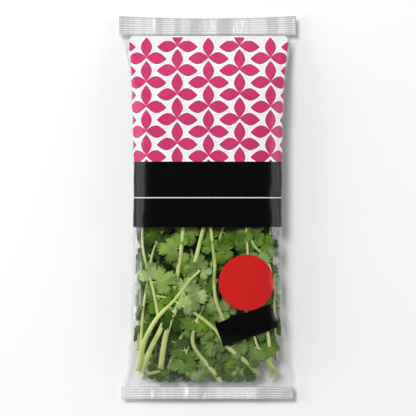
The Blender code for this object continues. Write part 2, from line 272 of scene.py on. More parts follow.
@dataclass(frozen=True)
class BagShape:
    """The filled bag's shape, which the film and everything inside it follow."""

    length: float = 0.3465
    top_seal: float = 0.0166
    bottom_seal: float = 0.0107
    top_seal_width: float = 0.160
    bottom_seal_width: float = 0.156
    body_width: float = 0.134
    body_depth: float = 0.042
    seal_height: float = 0.009
    film: float = 0.0004
    least_half_depth: float = 0.00075
    narrowing: float = 0.028
    filling: float = 0.022
    filling_power: float = 0.8
    lift_length: float = 0.060
    pressed_flat: float = 0.0012
    power: float = 3.4
    levels: int = 12

    @property
    def top_inner(self) -> float:
        """Where the top seal meets the filled body."""
        return self.length / 2 - self.top_seal

    @property
    def bottom_inner(self) -> float:
        """Where the bottom seal meets the filled body."""
        return -self.length / 2 + self.bottom_seal

    def half_width(self, y: np.ndarray) -> np.ndarray:
        """Half of the width at each y."""
        top, bottom = np.maximum(self.top_inner - y, 0), np.maximum(y - self.bottom_inner, 0)
        flare = (self.top_seal_width - self.body_width) * np.exp(-top / self.narrowing)
        flare = flare + (self.bottom_seal_width - self.body_width) * np.exp(-bottom / self.narrowing)
        return (self.body_width + flare) / 2

    def half_depth(self, y: np.ndarray) -> np.ndarray:
        """Half of the thickness at each y."""
        top, bottom = np.maximum(self.top_inner - y, 0), np.maximum(y - self.bottom_inner, 0)
        rise = (1 - np.exp(-top / self.filling)) * (1 - np.exp(-bottom / self.filling))
        return np.maximum(self.body_depth / 2 * rise**self.filling_power, self.least_half_depth)

    def mid_height(self, y: np.ndarray) -> np.ndarray:
        """Height of the middle plane at each y."""
        inside = np.minimum(np.maximum(self.top_inner - y, 0), np.maximum(y - self.bottom_inner, 0))
        lift = np.minimum(inside / self.lift_length, 1.0)
        lift = lift * lift * (3 - 2 * lift)
        return self.seal_height + (self.body_depth / 2 - self.pressed_flat - self.seal_height) * lift

    def rise(self, x: np.ndarray, y: np.ndarray) -> np.ndarray:
        """Height of the film above the middle plane at each place."""
        share = np.minimum(np.abs(x) / self.half_width(y), 1.0)
        return self.half_depth(y) * (1 - share**self.power) ** (1 / self.power)

    def back(self, x: np.ndarray, y: np.ndarray, clearance: float) -> np.ndarray:
        """Height of the lowest place for filling, clearance above the back."""
        return np.maximum(self.mid_height(y) - self.rise(x, y), self.film / 2) + clearance

    def front(self, x: np.ndarray, y: np.ndarray, clearance: float) -> np.ndarray:
        """Height of the highest place for filling, clearance below the front."""
        return self.mid_height(y) + self.rise(x, y) - clearance

    def level_height(self, x: np.ndarray, y: np.ndarray, level: Value, radius: Value = 0.0) -> np.ndarray:
        """Height of a level between back and front, kept radius inside both.

        Args:
            x: Places across.
            y: Places along.
            level: From 0 at the back to levels at the front.
            radius: Half of what lies there.

        Returns:
            The heights.
        """
        back, front = self.back(x, y, 1.9 * MM), self.front(x, y, 1.5 * MM)
        height = back + (front - back) * (level + 0.5) / self.levels
        return np.minimum(np.maximum(height, back + radius), np.maximum(front - radius, back + radius))


SHAPE = BagShape()


# --- Finishes ------------------------------------------------------------------------------------------


@dataclass(frozen=True)
class PrintedFilm:
    """Clear glossy film with opaque inks: a petal lattice, a dark band with a rule, a disc and a tag."""

    petal_ink: Colour = linear(189, 49, 102)
    paper_ink: Colour = linear(240, 234, 241)
    white_ink: Colour = linear(250, 249, 250)
    band_ink: Colour = linear(10, 10, 11)
    rule_ink: Colour = linear(225, 225, 225)
    disc_ink: Colour = linear(201, 36, 34)
    panel_half: float = 0.0714
    panel_shift: float = 0.0009
    panel_top: float = 0.1553
    panel_corner: float = 0.0040
    petals_top: float = 0.1538
    side_petals_top: float = 0.1503
    band_top: float = 0.0410
    band_bottom: float = -0.0175
    rule_place: float = 0.0088
    rule_half: float = 0.00045
    column_pitch: float = 0.0279
    lattice_shift: float = 0.0008
    row_pitch: float = 0.0221
    lattice_start: float = 0.0905
    petal_half_length: float = 0.0094
    petal_half_width: float = 0.0052
    halo: float = 0.0010
    edge: float = 0.00012
    most_shine: float = 0.16
    clearness: Colour = (0.986, 0.988, 0.989)
    # The seals' haze grey, and the white that is painted into it as painted glints
    dull_silver: Colour = linear(203, 204, 207)
    painted_glint_white: Colour = linear(254, 254, 254)
    rib_pitch: float = 0.0022
    disc_centre: tuple[float, float] = (0.0348, -0.0670)
    disc_radius: float = 0.0249
    tag_centre: tuple[float, float] = (0.0354, -0.1051)
    tag_size: tuple[float, float] = (0.0530, 0.0223)
    tag_turn: float = 19.5

    def petal(self, tree: ShaderTree, across: Socket, along: Socket, grow: float, upright: bool) -> Socket:
        """A pointed petal's mask, grown by an amount all round.

        Args:
            tree: The material's tree.
            across: Distance across the lattice from the petal's centre.
            along: Distance along the bag from the petal's centre.
            grow: How much larger than the petal.
            upright: Whether the petal points along the bag.

        Returns:
            1 inside and 0 outside.
        """
        side, axis = (across, along) if upright else (along, across)
        length = self.petal_half_length + 1.6 * grow
        width = self.petal_half_width + grow + (0.0 if upright else 0.0005)
        bulge = tree.math("POWER", tree.math("ABSOLUTE", tree.math("DIVIDE", axis, length)), 1.75)
        reach = tree.math("ADD", tree.math("DIVIDE", tree.math("ABSOLUTE", side), width), bulge)
        return tree.step(reach, 1.03, 0.97)

    def lattice(self, tree: ShaderTree, u: Socket, v: Socket, grow: float) -> Socket:
        """The mask of every petal of the lattice, grown by an amount."""
        pitch, row = self.column_pitch, self.row_pitch
        near = tree.math("ABSOLUTE", tree.wrap(tree.math("SUBTRACT", u, self.lattice_shift), pitch))
        far = tree.math("SUBTRACT", pitch, near)
        found: Socket | None = None
        for column, start in ((near, self.lattice_start), (far, self.lattice_start + row / 2)):
            node_gap = tree.wrap(tree.math("SUBTRACT", v, start), row / 2)
            tip_gap = tree.wrap(tree.math("SUBTRACT", v, start + self.petal_half_length + 0.0003), row / 2)
            side = tree.math("SUBTRACT", column, self.petal_half_length - 0.0003)
            droop = tree.math("MULTIPLY_ADD", column, 0.075, node_gap)
            low = tree.step(v, self.side_petals_top + self.edge, self.side_petals_top - self.edge)
            for mask in (tree.math("MULTIPLY", low, self.petal(tree, side, droop, grow, False)),
                         self.petal(tree, column, tip_gap, grow, True)):
                found = mask if found is None else tree.math("MAXIMUM", found, mask)
        return found

    def distance(self, tree: ShaderTree, across: Socket, along: Socket) -> Socket:
        """The length of the vector with these two parts."""
        return tree.math("SQRT", tree.math("MULTIPLY_ADD", across, across, tree.math("MULTIPLY", along, along)))

    def panel(self, tree: ShaderTree, u: Socket, v: Socket) -> Socket:
        """The mask of the printed panel, which has two round corners at its top."""
        off = tree.math("ABSOLUTE", tree.math("SUBTRACT", u, self.panel_shift))
        past_u = tree.math("MAXIMUM", tree.math("SUBTRACT", off, self.panel_half - self.panel_corner), 0.0)
        past_v = tree.math("MAXIMUM", tree.math("SUBTRACT", v, self.panel_top - self.panel_corner), 0.0)
        past = self.distance(tree, past_u, past_v)
        rounded = tree.step(past, self.panel_corner + self.edge, self.panel_corner - self.edge)
        return tree.math("MULTIPLY", rounded,
                         tree.step(v, self.band_bottom - self.edge, self.band_bottom + self.edge))

    def tag(self, tree: ShaderTree, u: Socket, v: Socket) -> Socket:
        """The mask of the slanting tag."""
        cosine, sine = math.cos(math.radians(self.tag_turn)), math.sin(math.radians(self.tag_turn))
        off_u = tree.math("SUBTRACT", u, self.tag_centre[0])
        off_v = tree.math("SUBTRACT", v, self.tag_centre[1])
        along = tree.math("ADD", tree.math("MULTIPLY", off_u, cosine), tree.math("MULTIPLY", off_v, sine))
        across = tree.math("SUBTRACT", tree.math("MULTIPLY", off_v, cosine), tree.math("MULTIPLY", off_u, sine))
        half_length, half_width = self.tag_size[0] / 2, self.tag_size[1] / 2
        return tree.math("MULTIPLY", tree.within(along, -half_length, half_length, self.edge),
                         tree.within(across, -half_width, half_width, self.edge))

    def inks(self, tree: ShaderTree, u: Socket, v: Socket) -> tuple[Socket, Socket]:
        """The printed design.

        Args:
            tree: The material's tree.
            u: Distance round the film from the front's centre.
            v: Place along the bag.

        Returns:
            The inks' colour, and 1 where there is ink and 0 where the film is clear.
        """
        edge = self.edge
        apart = self.distance(tree, tree.math("SUBTRACT", u, self.disc_centre[0]),
                              tree.math("SUBTRACT", v, self.disc_centre[1]))
        disc = tree.step(apart, self.disc_radius + edge, self.disc_radius - edge)
        tag = self.tag(tree, u, v)
        opaque = tree.math("MAXIMUM", self.panel(tree, u, v), tree.math("MAXIMUM", disc, tag))
        # Each ink's colour runs a little past its mask, so that no other ink rims it
        spill = 0.001
        band = tree.within(v, self.band_bottom - 10 * spill, self.band_top, edge)
        rule = tree.within(v, self.rule_place - self.rule_half, self.rule_place + self.rule_half, edge)
        petals = tree.math("MULTIPLY", self.lattice(tree, u, v, 0.0),
                           tree.step(v, self.petals_top + edge, self.petals_top - edge))
        # Lighter pink in broad noise patches is painted highlight: gloss patches painted into the petal ink
        painted_highlight_pink = tuple(min(1.0, 1.25 * channel + 0.01) for channel in self.petal_ink)
        petal_ink = tree.blend(tree.noise(tree.object_place(), 30.0, 3.0), self.petal_ink, painted_highlight_pink)
        colour = tree.blend(self.lattice(tree, u, v, self.halo), self.paper_ink, self.white_ink)
        colour = tree.blend(petals, colour, petal_ink)
        colour = tree.blend(band, colour, self.band_ink)
        window = tree.step(v, self.band_bottom + spill, self.band_bottom - spill)
        colour = tree.blend(window, colour, self.band_ink)
        colour = tree.blend(tree.math("MULTIPLY", rule, band), colour, self.rule_ink)
        around_disc = tree.step(apart, self.disc_radius + 0.8 * spill, self.disc_radius + 0.4 * spill)
        colour = tree.blend(around_disc, colour, self.disc_ink)
        return tree.blend(tag, colour, self.band_ink), opaque

    def glints(self, tree: ShaderTree, v: Socket) -> Socket:
        """Painted glints for the crimped seals: how bright each place's haze colour is painted, along the ribs,
        in patches and in flecks.
        """
        ridge = tree.math("SINE", tree.math("MULTIPLY", tree.math("ABSOLUTE", v), 2 * math.pi / self.rib_pitch))
        patch = tree.noise(tree.object_place((1.0, 0.05, 1.0)), 75.0, 2.0)
        fleck = tree.noise(tree.object_place((0.5, 1.8, 1.0)), 420.0, 3.0, 0.65)
        lit = tree.math("MULTIPLY", tree.step(patch, 0.36, 0.60), 0.90)
        return tree.math("ADD", tree.math("MULTIPLY_ADD", ridge, 0.60, lit),
                         tree.math("MULTIPLY", tree.math("SUBTRACT", fleck, 0.5), 0.9), clamp=True)

    def clear_film(self, tree: ShaderTree, u: Socket, v: Socket, normal: Socket) -> Socket:
        """The clear film: silvery in the seals with painted glints, and with painted white glint streaks where
        it is pinched near them and at its sides.

        Args:
            tree: The material's tree.
            u: Distance round the film from the front's centre.
            v: Place along the bag.
            normal: The film's bent normal.

        Returns:
            The film's shader.
        """
        rise = 0.0006
        sealed = tree.math("MAXIMUM", tree.step(v, SHAPE.top_inner - rise, SHAPE.top_inner + rise),
                           tree.step(v, SHAPE.bottom_inner + rise, SHAPE.bottom_inner - rise))
        ends = tree.step(tree.math("ABSOLUTE", v), 0.134, 0.162)
        sides = tree.math("MULTIPLY", tree.step(tree.math("ABSOLUTE", u), 0.060, 0.070), 0.75)
        pinched = tree.math("MAXIMUM", tree.math("MULTIPLY", ends, 0.85), sides)
        fan = tree.math("DIVIDE", u, tree.math("MULTIPLY_ADD", ends, 0.10, 1.0))
        along_fan = tree.joined(tree.math("MULTIPLY", fan, 190.0), tree.math("MULTIPLY", v, 34.0))
        # Painted glints: white streaks painted into the haze colour where the film is pinched, standing in for
        # light that its folds catch; with the seals' ribs they set how white the haze is painted
        streaks = tree.math("MULTIPLY", pinched, tree.step(tree.noise(along_fan, 1.0, 2.0), 0.60, 0.74))
        silver_and_painted_glints = tree.blend(tree.math("MAXIMUM", self.glints(tree, v), streaks), self.dull_silver,
                            self.painted_glint_white)
        through = tree.shader("ShaderNodeBsdfTransparent", Color=self.clearness)
        gloss = tree.shader("ShaderNodeBsdfGlossy", Color=(1.0, 1.0, 1.0), Roughness=0.10, Normal=normal)
        haze = tree.shader("ShaderNodeBsdfDiffuse", Color=silver_and_painted_glints, Normal=normal)
        weight = tree.shader("ShaderNodeFresnel", IOR=1.31, Normal=normal)
        shine = tree.math("MULTIPLY_ADD", sealed, 0.08, tree.math("MINIMUM", weight, self.most_shine))
        # The seals and the painted glint streaks raise the share of haze
        hazy = tree.math("ADD", tree.math("MULTIPLY_ADD", sealed, 0.72, 0.001),
                         tree.math("MULTIPLY_ADD", streaks, 0.36, tree.math("MULTIPLY", pinched, 0.002)))
        return tree.mix_shaders(hazy, tree.mix_shaders(shine, through, gloss), haze)

    def material(self) -> bpy.types.Material:
        """Builds the film's material."""
        tree = ShaderTree("printed_film")
        u, v = tree.sheet_place("sheet")
        colour, opaque = self.inks(tree, u, v)
        fine = tree.noise(tree.object_place((1.0, 0.45, 1.0)), 120.0, 2.0, 0.5)
        broad = tree.noise(tree.object_place((1.0, 0.6, 1.0)), 45.0, 2.0)
        normal = tree.bump(tree.math("MULTIPLY_ADD", fine, 0.25, broad), 0.20, 0.0010)
        ink = tree.shader("ShaderNodeBsdfPrincipled", Base_Color=colour, Roughness=0.16, IOR=1.32,
                          Normal=normal)
        return tree.finish(tree.mix_shaders(opaque, self.clear_film(tree, u, v, normal), ink))


@dataclass(frozen=True)
class LeafFinish:
    """A leaf's skin: greens that vary from blade to blade, with painted shade darker on lower blades and painted
    light paler at the front, paler veins and a soft sheen.
    """

    name: str
    # The deep green is painted shade on blades lower in the bag, and the pale green is partly painted light on
    # those at the front
    deep_green_and_painted_shade: Colour
    fresh: Colour
    pale: Colour
    vein: Colour
    sheen_roughness: float = 0.46
    glow: float = 0.12
    vein_turn: float = 31.0
    lime: Colour = (0.200, 0.390, 0.006)

    def material(self) -> bpy.types.Material:
        """Builds the leaf's material."""
        tree = ShaderTree(self.name)
        x, y = tree.sheet_place("blade")
        tone_and_painted_shade = tree.attribute("tone_and_painted_shade")
        place = tree.object_place()
        mottle = tree.noise(place, 260.0, 4.0, 0.6)
        broad = tree.noise(place, 55.0, 2.0)
        # Painted shade and light: the number is low on blades lower in the bag, which turn deep green, and high
        # at the front, which turn paler
        colour = tree.blend(tree.step(tone_and_painted_shade, 0.0, 0.55), self.deep_green_and_painted_shade, self.fresh)
        colour = tree.blend(tree.step(tone_and_painted_shade, 0.5, 1.0), colour, self.pale)
        colour = tree.blend(tree.math("MULTIPLY", tree.step(mottle, 0.50, 0.78), 0.10), colour, self.pale)
        # A number that jumps about with the tone gives some of the blades a yellower green
        jump = tree.math("FRACT", tree.math("MULTIPLY", tone_and_painted_shade, 23.0))
        warm = tree.math("MULTIPLY", tree.step(jump, 0.45, 0.75), tree.step(tone_and_painted_shade, 0.10, 0.30))
        colour = tree.blend(tree.math("MULTIPLY", warm, 0.42), colour, self.lime)
        colour = tree.blend(tree.math("MULTIPLY", tree.step(broad, 0.60, 0.36), 0.60), colour, self.deep_green_and_painted_shade)
        # Veins fan out from the foot of the blade
        angle = tree.math("DEGREES", tree.math("ARCTAN2", x, y))
        reach = tree.math("SQRT", tree.math("ADD", tree.math("MULTIPLY", x, x), tree.math("MULTIPLY", y, y)))
        gap = tree.wrap(angle, self.vein_turn / 2)
        width = tree.math("MULTIPLY", tree.math("ABSOLUTE", tree.math("RADIANS", gap)), reach)
        vein = tree.math("MULTIPLY", tree.step(width, 0.018, 0.004), tree.step(reach, 0.95, 0.10))
        small = tree.wrap(tree.math("MULTIPLY_ADD", reach, 40.0, angle), 5.2)
        fine = tree.math("MULTIPLY", tree.step(tree.math("ABSOLUTE", small), 1.0, 0.2), 0.22)
        veins = tree.math("MAXIMUM", vein, fine)
        colour = tree.blend(tree.math("MULTIPLY", veins, 0.20), colour, self.vein)
        relief = tree.math("SUBTRACT", tree.math("MULTIPLY", mottle, 0.6), veins)
        normal = tree.bump(relief, 0.45, 0.0006)
        skin = tree.shader("ShaderNodeBsdfPrincipled", Base_Color=colour, Roughness=self.sheen_roughness,
                           IOR=1.12, Normal=normal)
        glow = tree.shader("ShaderNodeBsdfTranslucent", Color=tree.blend(0.6, colour, self.lime), Normal=normal)
        return tree.finish(tree.mix_shaders(self.glow, skin, glow))


@dataclass(frozen=True)
class StalkFinish:
    """A juicy stem: pale green with long darker streaks, and painted shade that makes stems lower in the bag
    darker.
    """

    name: str = "stalk"
    pale: Colour = (0.920, 0.980, 0.440)
    green: Colour = (0.680, 0.840, 0.150)
    # The deep green is painted shade for stems lower in the bag, and it also darkens broad patches
    deep_green_and_painted_shade: Colour = (0.085, 0.170, 0.010)

    def material(self) -> bpy.types.Material:
        """Builds the stem's material."""
        tree = ShaderTree(self.name)
        around, along = tree.sheet_place("blade")
        tone_and_painted_shade = tree.attribute("tone_and_painted_shade")
        stretched = tree.joined(tree.math("MULTIPLY", around, 14.0), tree.math("MULTIPLY", along, 0.6))
        streaks = tree.noise(stretched, 1.0, 3.0, 0.6)
        broad = tree.noise(tree.object_place(), 38.0, 2.0)
        colour = tree.blend(tree.step(streaks, 0.38, 0.66), self.pale, self.green)
        colour = tree.blend(tree.math("MULTIPLY", tree.step(broad, 0.45, 0.7), 0.45), colour, self.deep_green_and_painted_shade)
        # Painted shade: stems lower in the bag carry a higher number here and turn darker
        colour = tree.blend(tree.math("MULTIPLY", tone_and_painted_shade, 0.75), colour, self.deep_green_and_painted_shade)
        normal = tree.bump(streaks, 0.35, 0.0004)
        skin = tree.shader("ShaderNodeBsdfPrincipled", Base_Color=colour, Roughness=0.36, IOR=1.42,
                           Normal=normal)
        glow = tree.shader("ShaderNodeBsdfTranslucent", Color=colour, Normal=normal)
        return tree.finish(tree.mix_shaders(0.12, skin, glow))


@dataclass(frozen=True)
class CutEndFinish:
    """A stem's cut face: pale pith with greener grain."""

    name: str = "cut_end"
    pith: Colour = (0.86, 0.86, 0.58)
    ring: Colour = (0.48, 0.56, 0.20)

    def material(self) -> bpy.types.Material:
        """Builds the cut face's material."""
        tree = ShaderTree(self.name)
        grain = tree.noise(tree.object_place(), 1800.0, 3.0)
        colour = tree.blend(tree.math("MULTIPLY", grain, 0.5), self.pith, self.ring)
        skin = tree.shader("ShaderNodeBsdfPrincipled", Base_Color=colour, Roughness=0.5,
                           Normal=tree.bump(grain, 0.4, 0.0003))
        return tree.finish(skin)


@dataclass(frozen=True)
class FloorFinish:
    """Plain pale paper."""

    pale: Colour = (0.97, 0.97, 0.97)
    shade: Colour = (0.95, 0.95, 0.95)

    def material(self) -> bpy.types.Material:
        """Builds the floor's material."""
        tree = ShaderTree("floor_paper")
        fibre = tree.noise(tree.object_place(), 220.0, 4.0)
        colour = tree.blend(fibre, self.pale, self.shade)
        return tree.finish(tree.shader("ShaderNodeBsdfPrincipled", Base_Color=colour, Roughness=0.8,
                                       Normal=tree.bump(fibre, 0.1, 0.0005)))


# --- Mesh gathering ------------------------------------------------------------------------------------


class Skin(Enum):
    """The material slots of a sprig's mesh."""

    LEAF = 0
    UNDERSIDE = 1
    STALK = 2
    CUT_END = 3


@dataclass
class MeshGathering:
    """Gathers the points and faces of one piece from its many blades and stalks."""

    points: list[np.ndarray] = field(default_factory=list)
    maps: list[np.ndarray] = field(default_factory=list)
    tones_and_painted_shade: list[np.ndarray] = field(default_factory=list)
    faces: list[tuple[int, ...]] = field(default_factory=list)
    skins: list[int] = field(default_factory=list)
    count: int = 0

    def add(self, points: np.ndarray, places: np.ndarray, tone_and_painted_shade: float,
            faces: list[tuple[int, ...]], skins: list[Skin]) -> None:
        """Adds a closed shell.

        Args:
            points: Its points.
            places: Two map coordinates for each point.
            tone_and_painted_shade: Its shade of green, from 0 to 1.
            faces: Its faces, as indices into points.
            skins: The skin of each face.
        """
        self.points.append(points)
        self.maps.append(places)
        self.tones_and_painted_shade.append(np.full(len(points), tone_and_painted_shade))
        self.faces.extend(tuple(i + self.count for i in face) for face in faces)
        self.skins.extend(skin.value for skin in skins)
        self.count += len(points)

    def to_object(self, name: str, materials: list[bpy.types.Material]) -> bpy.types.Object:
        """Makes the piece.

        Args:
            name: The object's name.
            materials: One for each skin, in order.

        Returns:
            The object.
        """
        mesh = bpy.data.meshes.new(name)
        mesh.from_pydata(np.concatenate(self.points).tolist(), [], self.faces)
        for material in materials:
            mesh.materials.append(material)
        mesh.polygons.foreach_set("material_index", self.skins)
        mesh.polygons.foreach_set("use_smooth", [skin != Skin.CUT_END.value for skin in self.skins])
        corners = np.empty(len(mesh.loops), np.int32)
        mesh.loops.foreach_get("vertex_index", corners)
        layer = mesh.uv_layers.new(name="blade")
        layer.data.foreach_set("uv", np.concatenate(self.maps)[corners].ravel())
        tone_and_painted_shade = mesh.attributes.new("tone_and_painted_shade", "FLOAT", "POINT")
        tone_and_painted_shade.data.foreach_set("value", np.concatenate(self.tones_and_painted_shade))
        made = bpy.data.objects.new(name, mesh)
        bpy.context.scene.collection.objects.link(made)
        return made


# --- The film ------------------------------------------------------------------------------------------


@dataclass
class PillowBag:
    """The film bag: a sheet wrapped round the herbs, lapped at the back and crimped at both ends."""

    shape: BagShape
    finish: PrintedFilm
    columns_back: int = 40
    columns_front: int = 148
    lap: float = 0.012
    lap_ramp: float = 0.010
    ply_step: float = 0.0007
    wall: float = 0.00012
    rib_pitch: float = 0.0022
    rib_height: float = 0.00026
    row_step_seal: float = 0.0005
    body_rows: int = 150
    tooth: float = 0.0011
    top_bow: float = 0.0024
    pleat_height: float = 1.5 * MM
    corner_folds: tuple[tuple[float, float, float], ...] = (
        (0.30, 1.5, 1.7), (0.62, 1.2, 1.9), (1.15, 0.9, 2.1))

    def rows(self) -> np.ndarray:
        """The places along the bag of the mesh's rows, close together in the seals."""
        low, high = -self.shape.length / 2, self.shape.length / 2
        bottom = np.arange(low, self.shape.bottom_inner, self.row_step_seal)
        top = np.arange(high, self.shape.top_inner, -self.row_step_seal)[::-1]
        t = np.linspace(0, 1, self.body_rows)
        eased = 0.5 - 0.5 * np.cos(math.pi * t)
        span = self.shape.top_inner - self.shape.bottom_inner
        body = self.shape.bottom_inner + span * (0.55 * t + 0.45 * eased)
        return np.concatenate([bottom, body, top])

    def section(self, y: float) -> tuple[np.ndarray, np.ndarray]:
        """The film's line around the bag at y.

        Args:
            y: Place along the bag.

        Returns:
            Its points across and up, and each one's distance from the front's centre along the film.
        """
        shape = self.shape
        angles = np.radians(np.linspace(-90, 270, 1441))
        a, b, power = float(shape.half_width(y)), float(shape.half_depth(y)), shape.power
        reach = (np.abs(np.cos(angles) / a) ** power + np.abs(np.sin(angles) / b) ** power) ** (-1 / power)
        ring = np.stack([-reach * np.cos(angles), shape.mid_height(y) + reach * np.sin(angles)], axis=1)
        ring[:, 1] = np.maximum(ring[:, 1], shape.film / 2)
        run = np.concatenate([[0], np.cumsum(np.linalg.norm(np.diff(ring, axis=0), axis=1))])
        total, left, right = run[-1], run[360], run[1080]
        stops = np.concatenate([[-self.lap / 2, -self.lap / 4, 0, self.lap / 4, self.lap / 2],
                                np.linspace(self.lap / 2 + self.lap_ramp, left, self.columns_back),
                                np.linspace(left, right, self.columns_front)[1:-1],
                                np.linspace(right, total - self.lap, self.columns_back),
                                [total - self.lap / 2, total, total + self.lap / 2]])
        wrapped = np.mod(stops, total)
        wrapped[np.isclose(stops, total)] = total
        line = np.stack([np.interp(wrapped, run, ring[:, 0]), np.interp(wrapped, run, ring[:, 1])], axis=1)
        line[:5, 1] += self.ply_step
        return line, stops - total / 2

    def relief(self, u: np.ndarray, x: np.ndarray, y: np.ndarray, front: np.ndarray) -> np.ndarray:
        """How far the film stands out from its smooth shape: pleats, corner folds and soft lumps.

        Args:
            u: Distance round the film from the front's centre.
            x: Place across.
            y: Place along.
            front: 1 on the front and 0 on the back.

        Returns:
            The heights of the relief.
        """
        shape = self.shape
        top, bottom = np.maximum(shape.top_inner - y, 0), np.maximum(y - shape.bottom_inner, 0)
        relief = np.zeros_like(u)
        for gap, seed in ((top, 3), (bottom, 9)):
            near = np.exp(-gap / (14 * MM)) * (1 - np.exp(-gap / (2.0 * MM)))
            spread = u / (1 + gap / (60 * MM))
            pleat = value_noise(spread / (7 * MM), gap / (26 * MM), seed)
            pleat = pleat + 0.5 * value_noise(spread / (3.4 * MM), gap / (15 * MM), seed + 1)
            flat = np.clip((shape.half_width(y) - np.abs(x)) / (6 * MM), 0, 1)
            relief += self.pleat_height * near * flat * np.abs(pleat)
        # Folds that fan out of each corner of the seals, each with its lean, height and width in millimetres
        for gap, start in ((top, shape.top_seal_width / 2), (bottom, shape.bottom_seal_width / 2)):
            inward = start - np.abs(x)
            for lean, height, width in self.corner_folds:
                off = (inward - lean * gap) / math.hypot(1, lean)
                along = gap * math.hypot(1, lean)
                fade = (1 - np.exp(-along / (4 * MM))) * np.exp(-((along / (34 * MM)) ** 2))
                flat = np.clip((shape.half_width(y) - np.abs(x)) / (5 * MM), 0, 1)
                relief += height * MM * fade * flat * np.exp(-((off / (width * MM)) ** 2))
        # Soft lumps over the herbs, and slack film along both sides
        body = np.clip(np.minimum(top, bottom) / (25 * MM), 0, 1)
        window = 1 / (1 + np.exp((y + 17 * MM) / (7 * MM)))
        relief += body * 0.35 * MM * value_noise(u / (30 * MM), y / (34 * MM), 21)
        side = np.exp(-(((np.abs(x) - shape.half_width(y)) / (9 * MM)) ** 2))
        slack = value_noise(u / (11 * MM), y / (13 * MM), 27)
        slack = slack + 0.6 * value_noise(u / (6 * MM), y / (7 * MM), 33)
        relief += body * side * (0.35 + 0.75 * window) * MM * slack
        relief += body * window * (0.25 * MM) * value_noise(u / (9 * MM), y / (11 * MM), 41)
        return np.where(front > 0, np.maximum(relief, -0.45 * MM), np.clip(relief, -0.2 * MM, 0.4 * MM))

    def build(self) -> bpy.types.Object:
        """Builds the film and dresses it.

        Returns:
            The film's object.
        """
        shape = self.shape
        rows = self.rows()
        lines, distances = zip(*(self.section(float(y)) for y in rows))
        line, u = np.stack(lines), np.stack(distances)
        count = line.shape[1]
        y = np.repeat(rows[:, None], count, axis=1)
        tangent = np.gradient(line, axis=1)
        tangent /= np.maximum(np.linalg.norm(tangent, axis=2, keepdims=True), 1e-9)
        normal = np.stack([-tangent[..., 1], tangent[..., 0]], axis=2)
        front = (line[..., 1] > shape.mid_height(y) - 0.35 * shape.half_depth(y)).astype(float)
        relief = self.relief(u, line[..., 0], y, front)
        place = line + normal * relief[..., None]
        place[..., 1] = np.maximum(place[..., 1], shape.film / 2)
        # Crimp ribs move both plies together
        inside = np.clip(np.maximum(y - shape.top_inner, shape.bottom_inner - y) / (0.8 * MM), 0, 1)
        ribs = np.cos(2 * math.pi * (np.abs(y) - shape.length / 2) / self.rib_pitch)
        waver = 1 + 0.5 * value_noise(line[..., 0] / (9 * MM), y / (2 * MM), 51)
        place[..., 1] += inside * self.rib_height * ribs * waver
        place[..., 1] += inside * 0.5 * MM * value_noise(line[..., 0] / (16 * MM), y / (30 * MM), 57)
        along = y.copy()
        seal_share = np.clip((y - shape.top_inner) / shape.top_seal, 0, 1)
        along -= self.top_bow * seal_share * np.clip(1 - (line[..., 0] / shape.half_width(y)) ** 2, 0, 1)
        teeth = self.tooth * np.where(np.arange(count) % 2, 1.0, -0.2)
        along[0] += teeth
        along[-1] -= teeth
        points = np.stack([place[..., 0], along, place[..., 1]], axis=2).reshape(-1, 3)
        faces = []
        for r in range(len(rows) - 1):
            for c in range(count - 1):
                first = r * count + c
                faces.append((first, first + 1, first + 1 + count, first + count))
        mesh = bpy.data.meshes.new("film")
        mesh.from_pydata(points.tolist(), [], faces)
        mesh.polygons.foreach_set("use_smooth", [True] * len(faces))
        corners = np.empty(len(mesh.loops), np.int32)
        mesh.loops.foreach_get("vertex_index", corners)
        layer = mesh.uv_layers.new(name="sheet")
        places = np.stack([u, y], axis=2).reshape(-1, 2)
        layer.data.foreach_set("uv", places[corners].ravel())
        mesh.materials.append(self.finish.material())
        film = bpy.data.objects.new("film", mesh)
        bpy.context.scene.collection.objects.link(film)
        wall = film.modifiers.new("wall", "SOLIDIFY")
        wall.thickness = self.wall
        wall.offset = -1.0
        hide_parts("film_bag")
        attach(film, ROOT)
        LOG.info("film: %d rows of %d points", len(rows), count)
        return film


# --- Leaves and stalks ---------------------------------------------------------------------------------


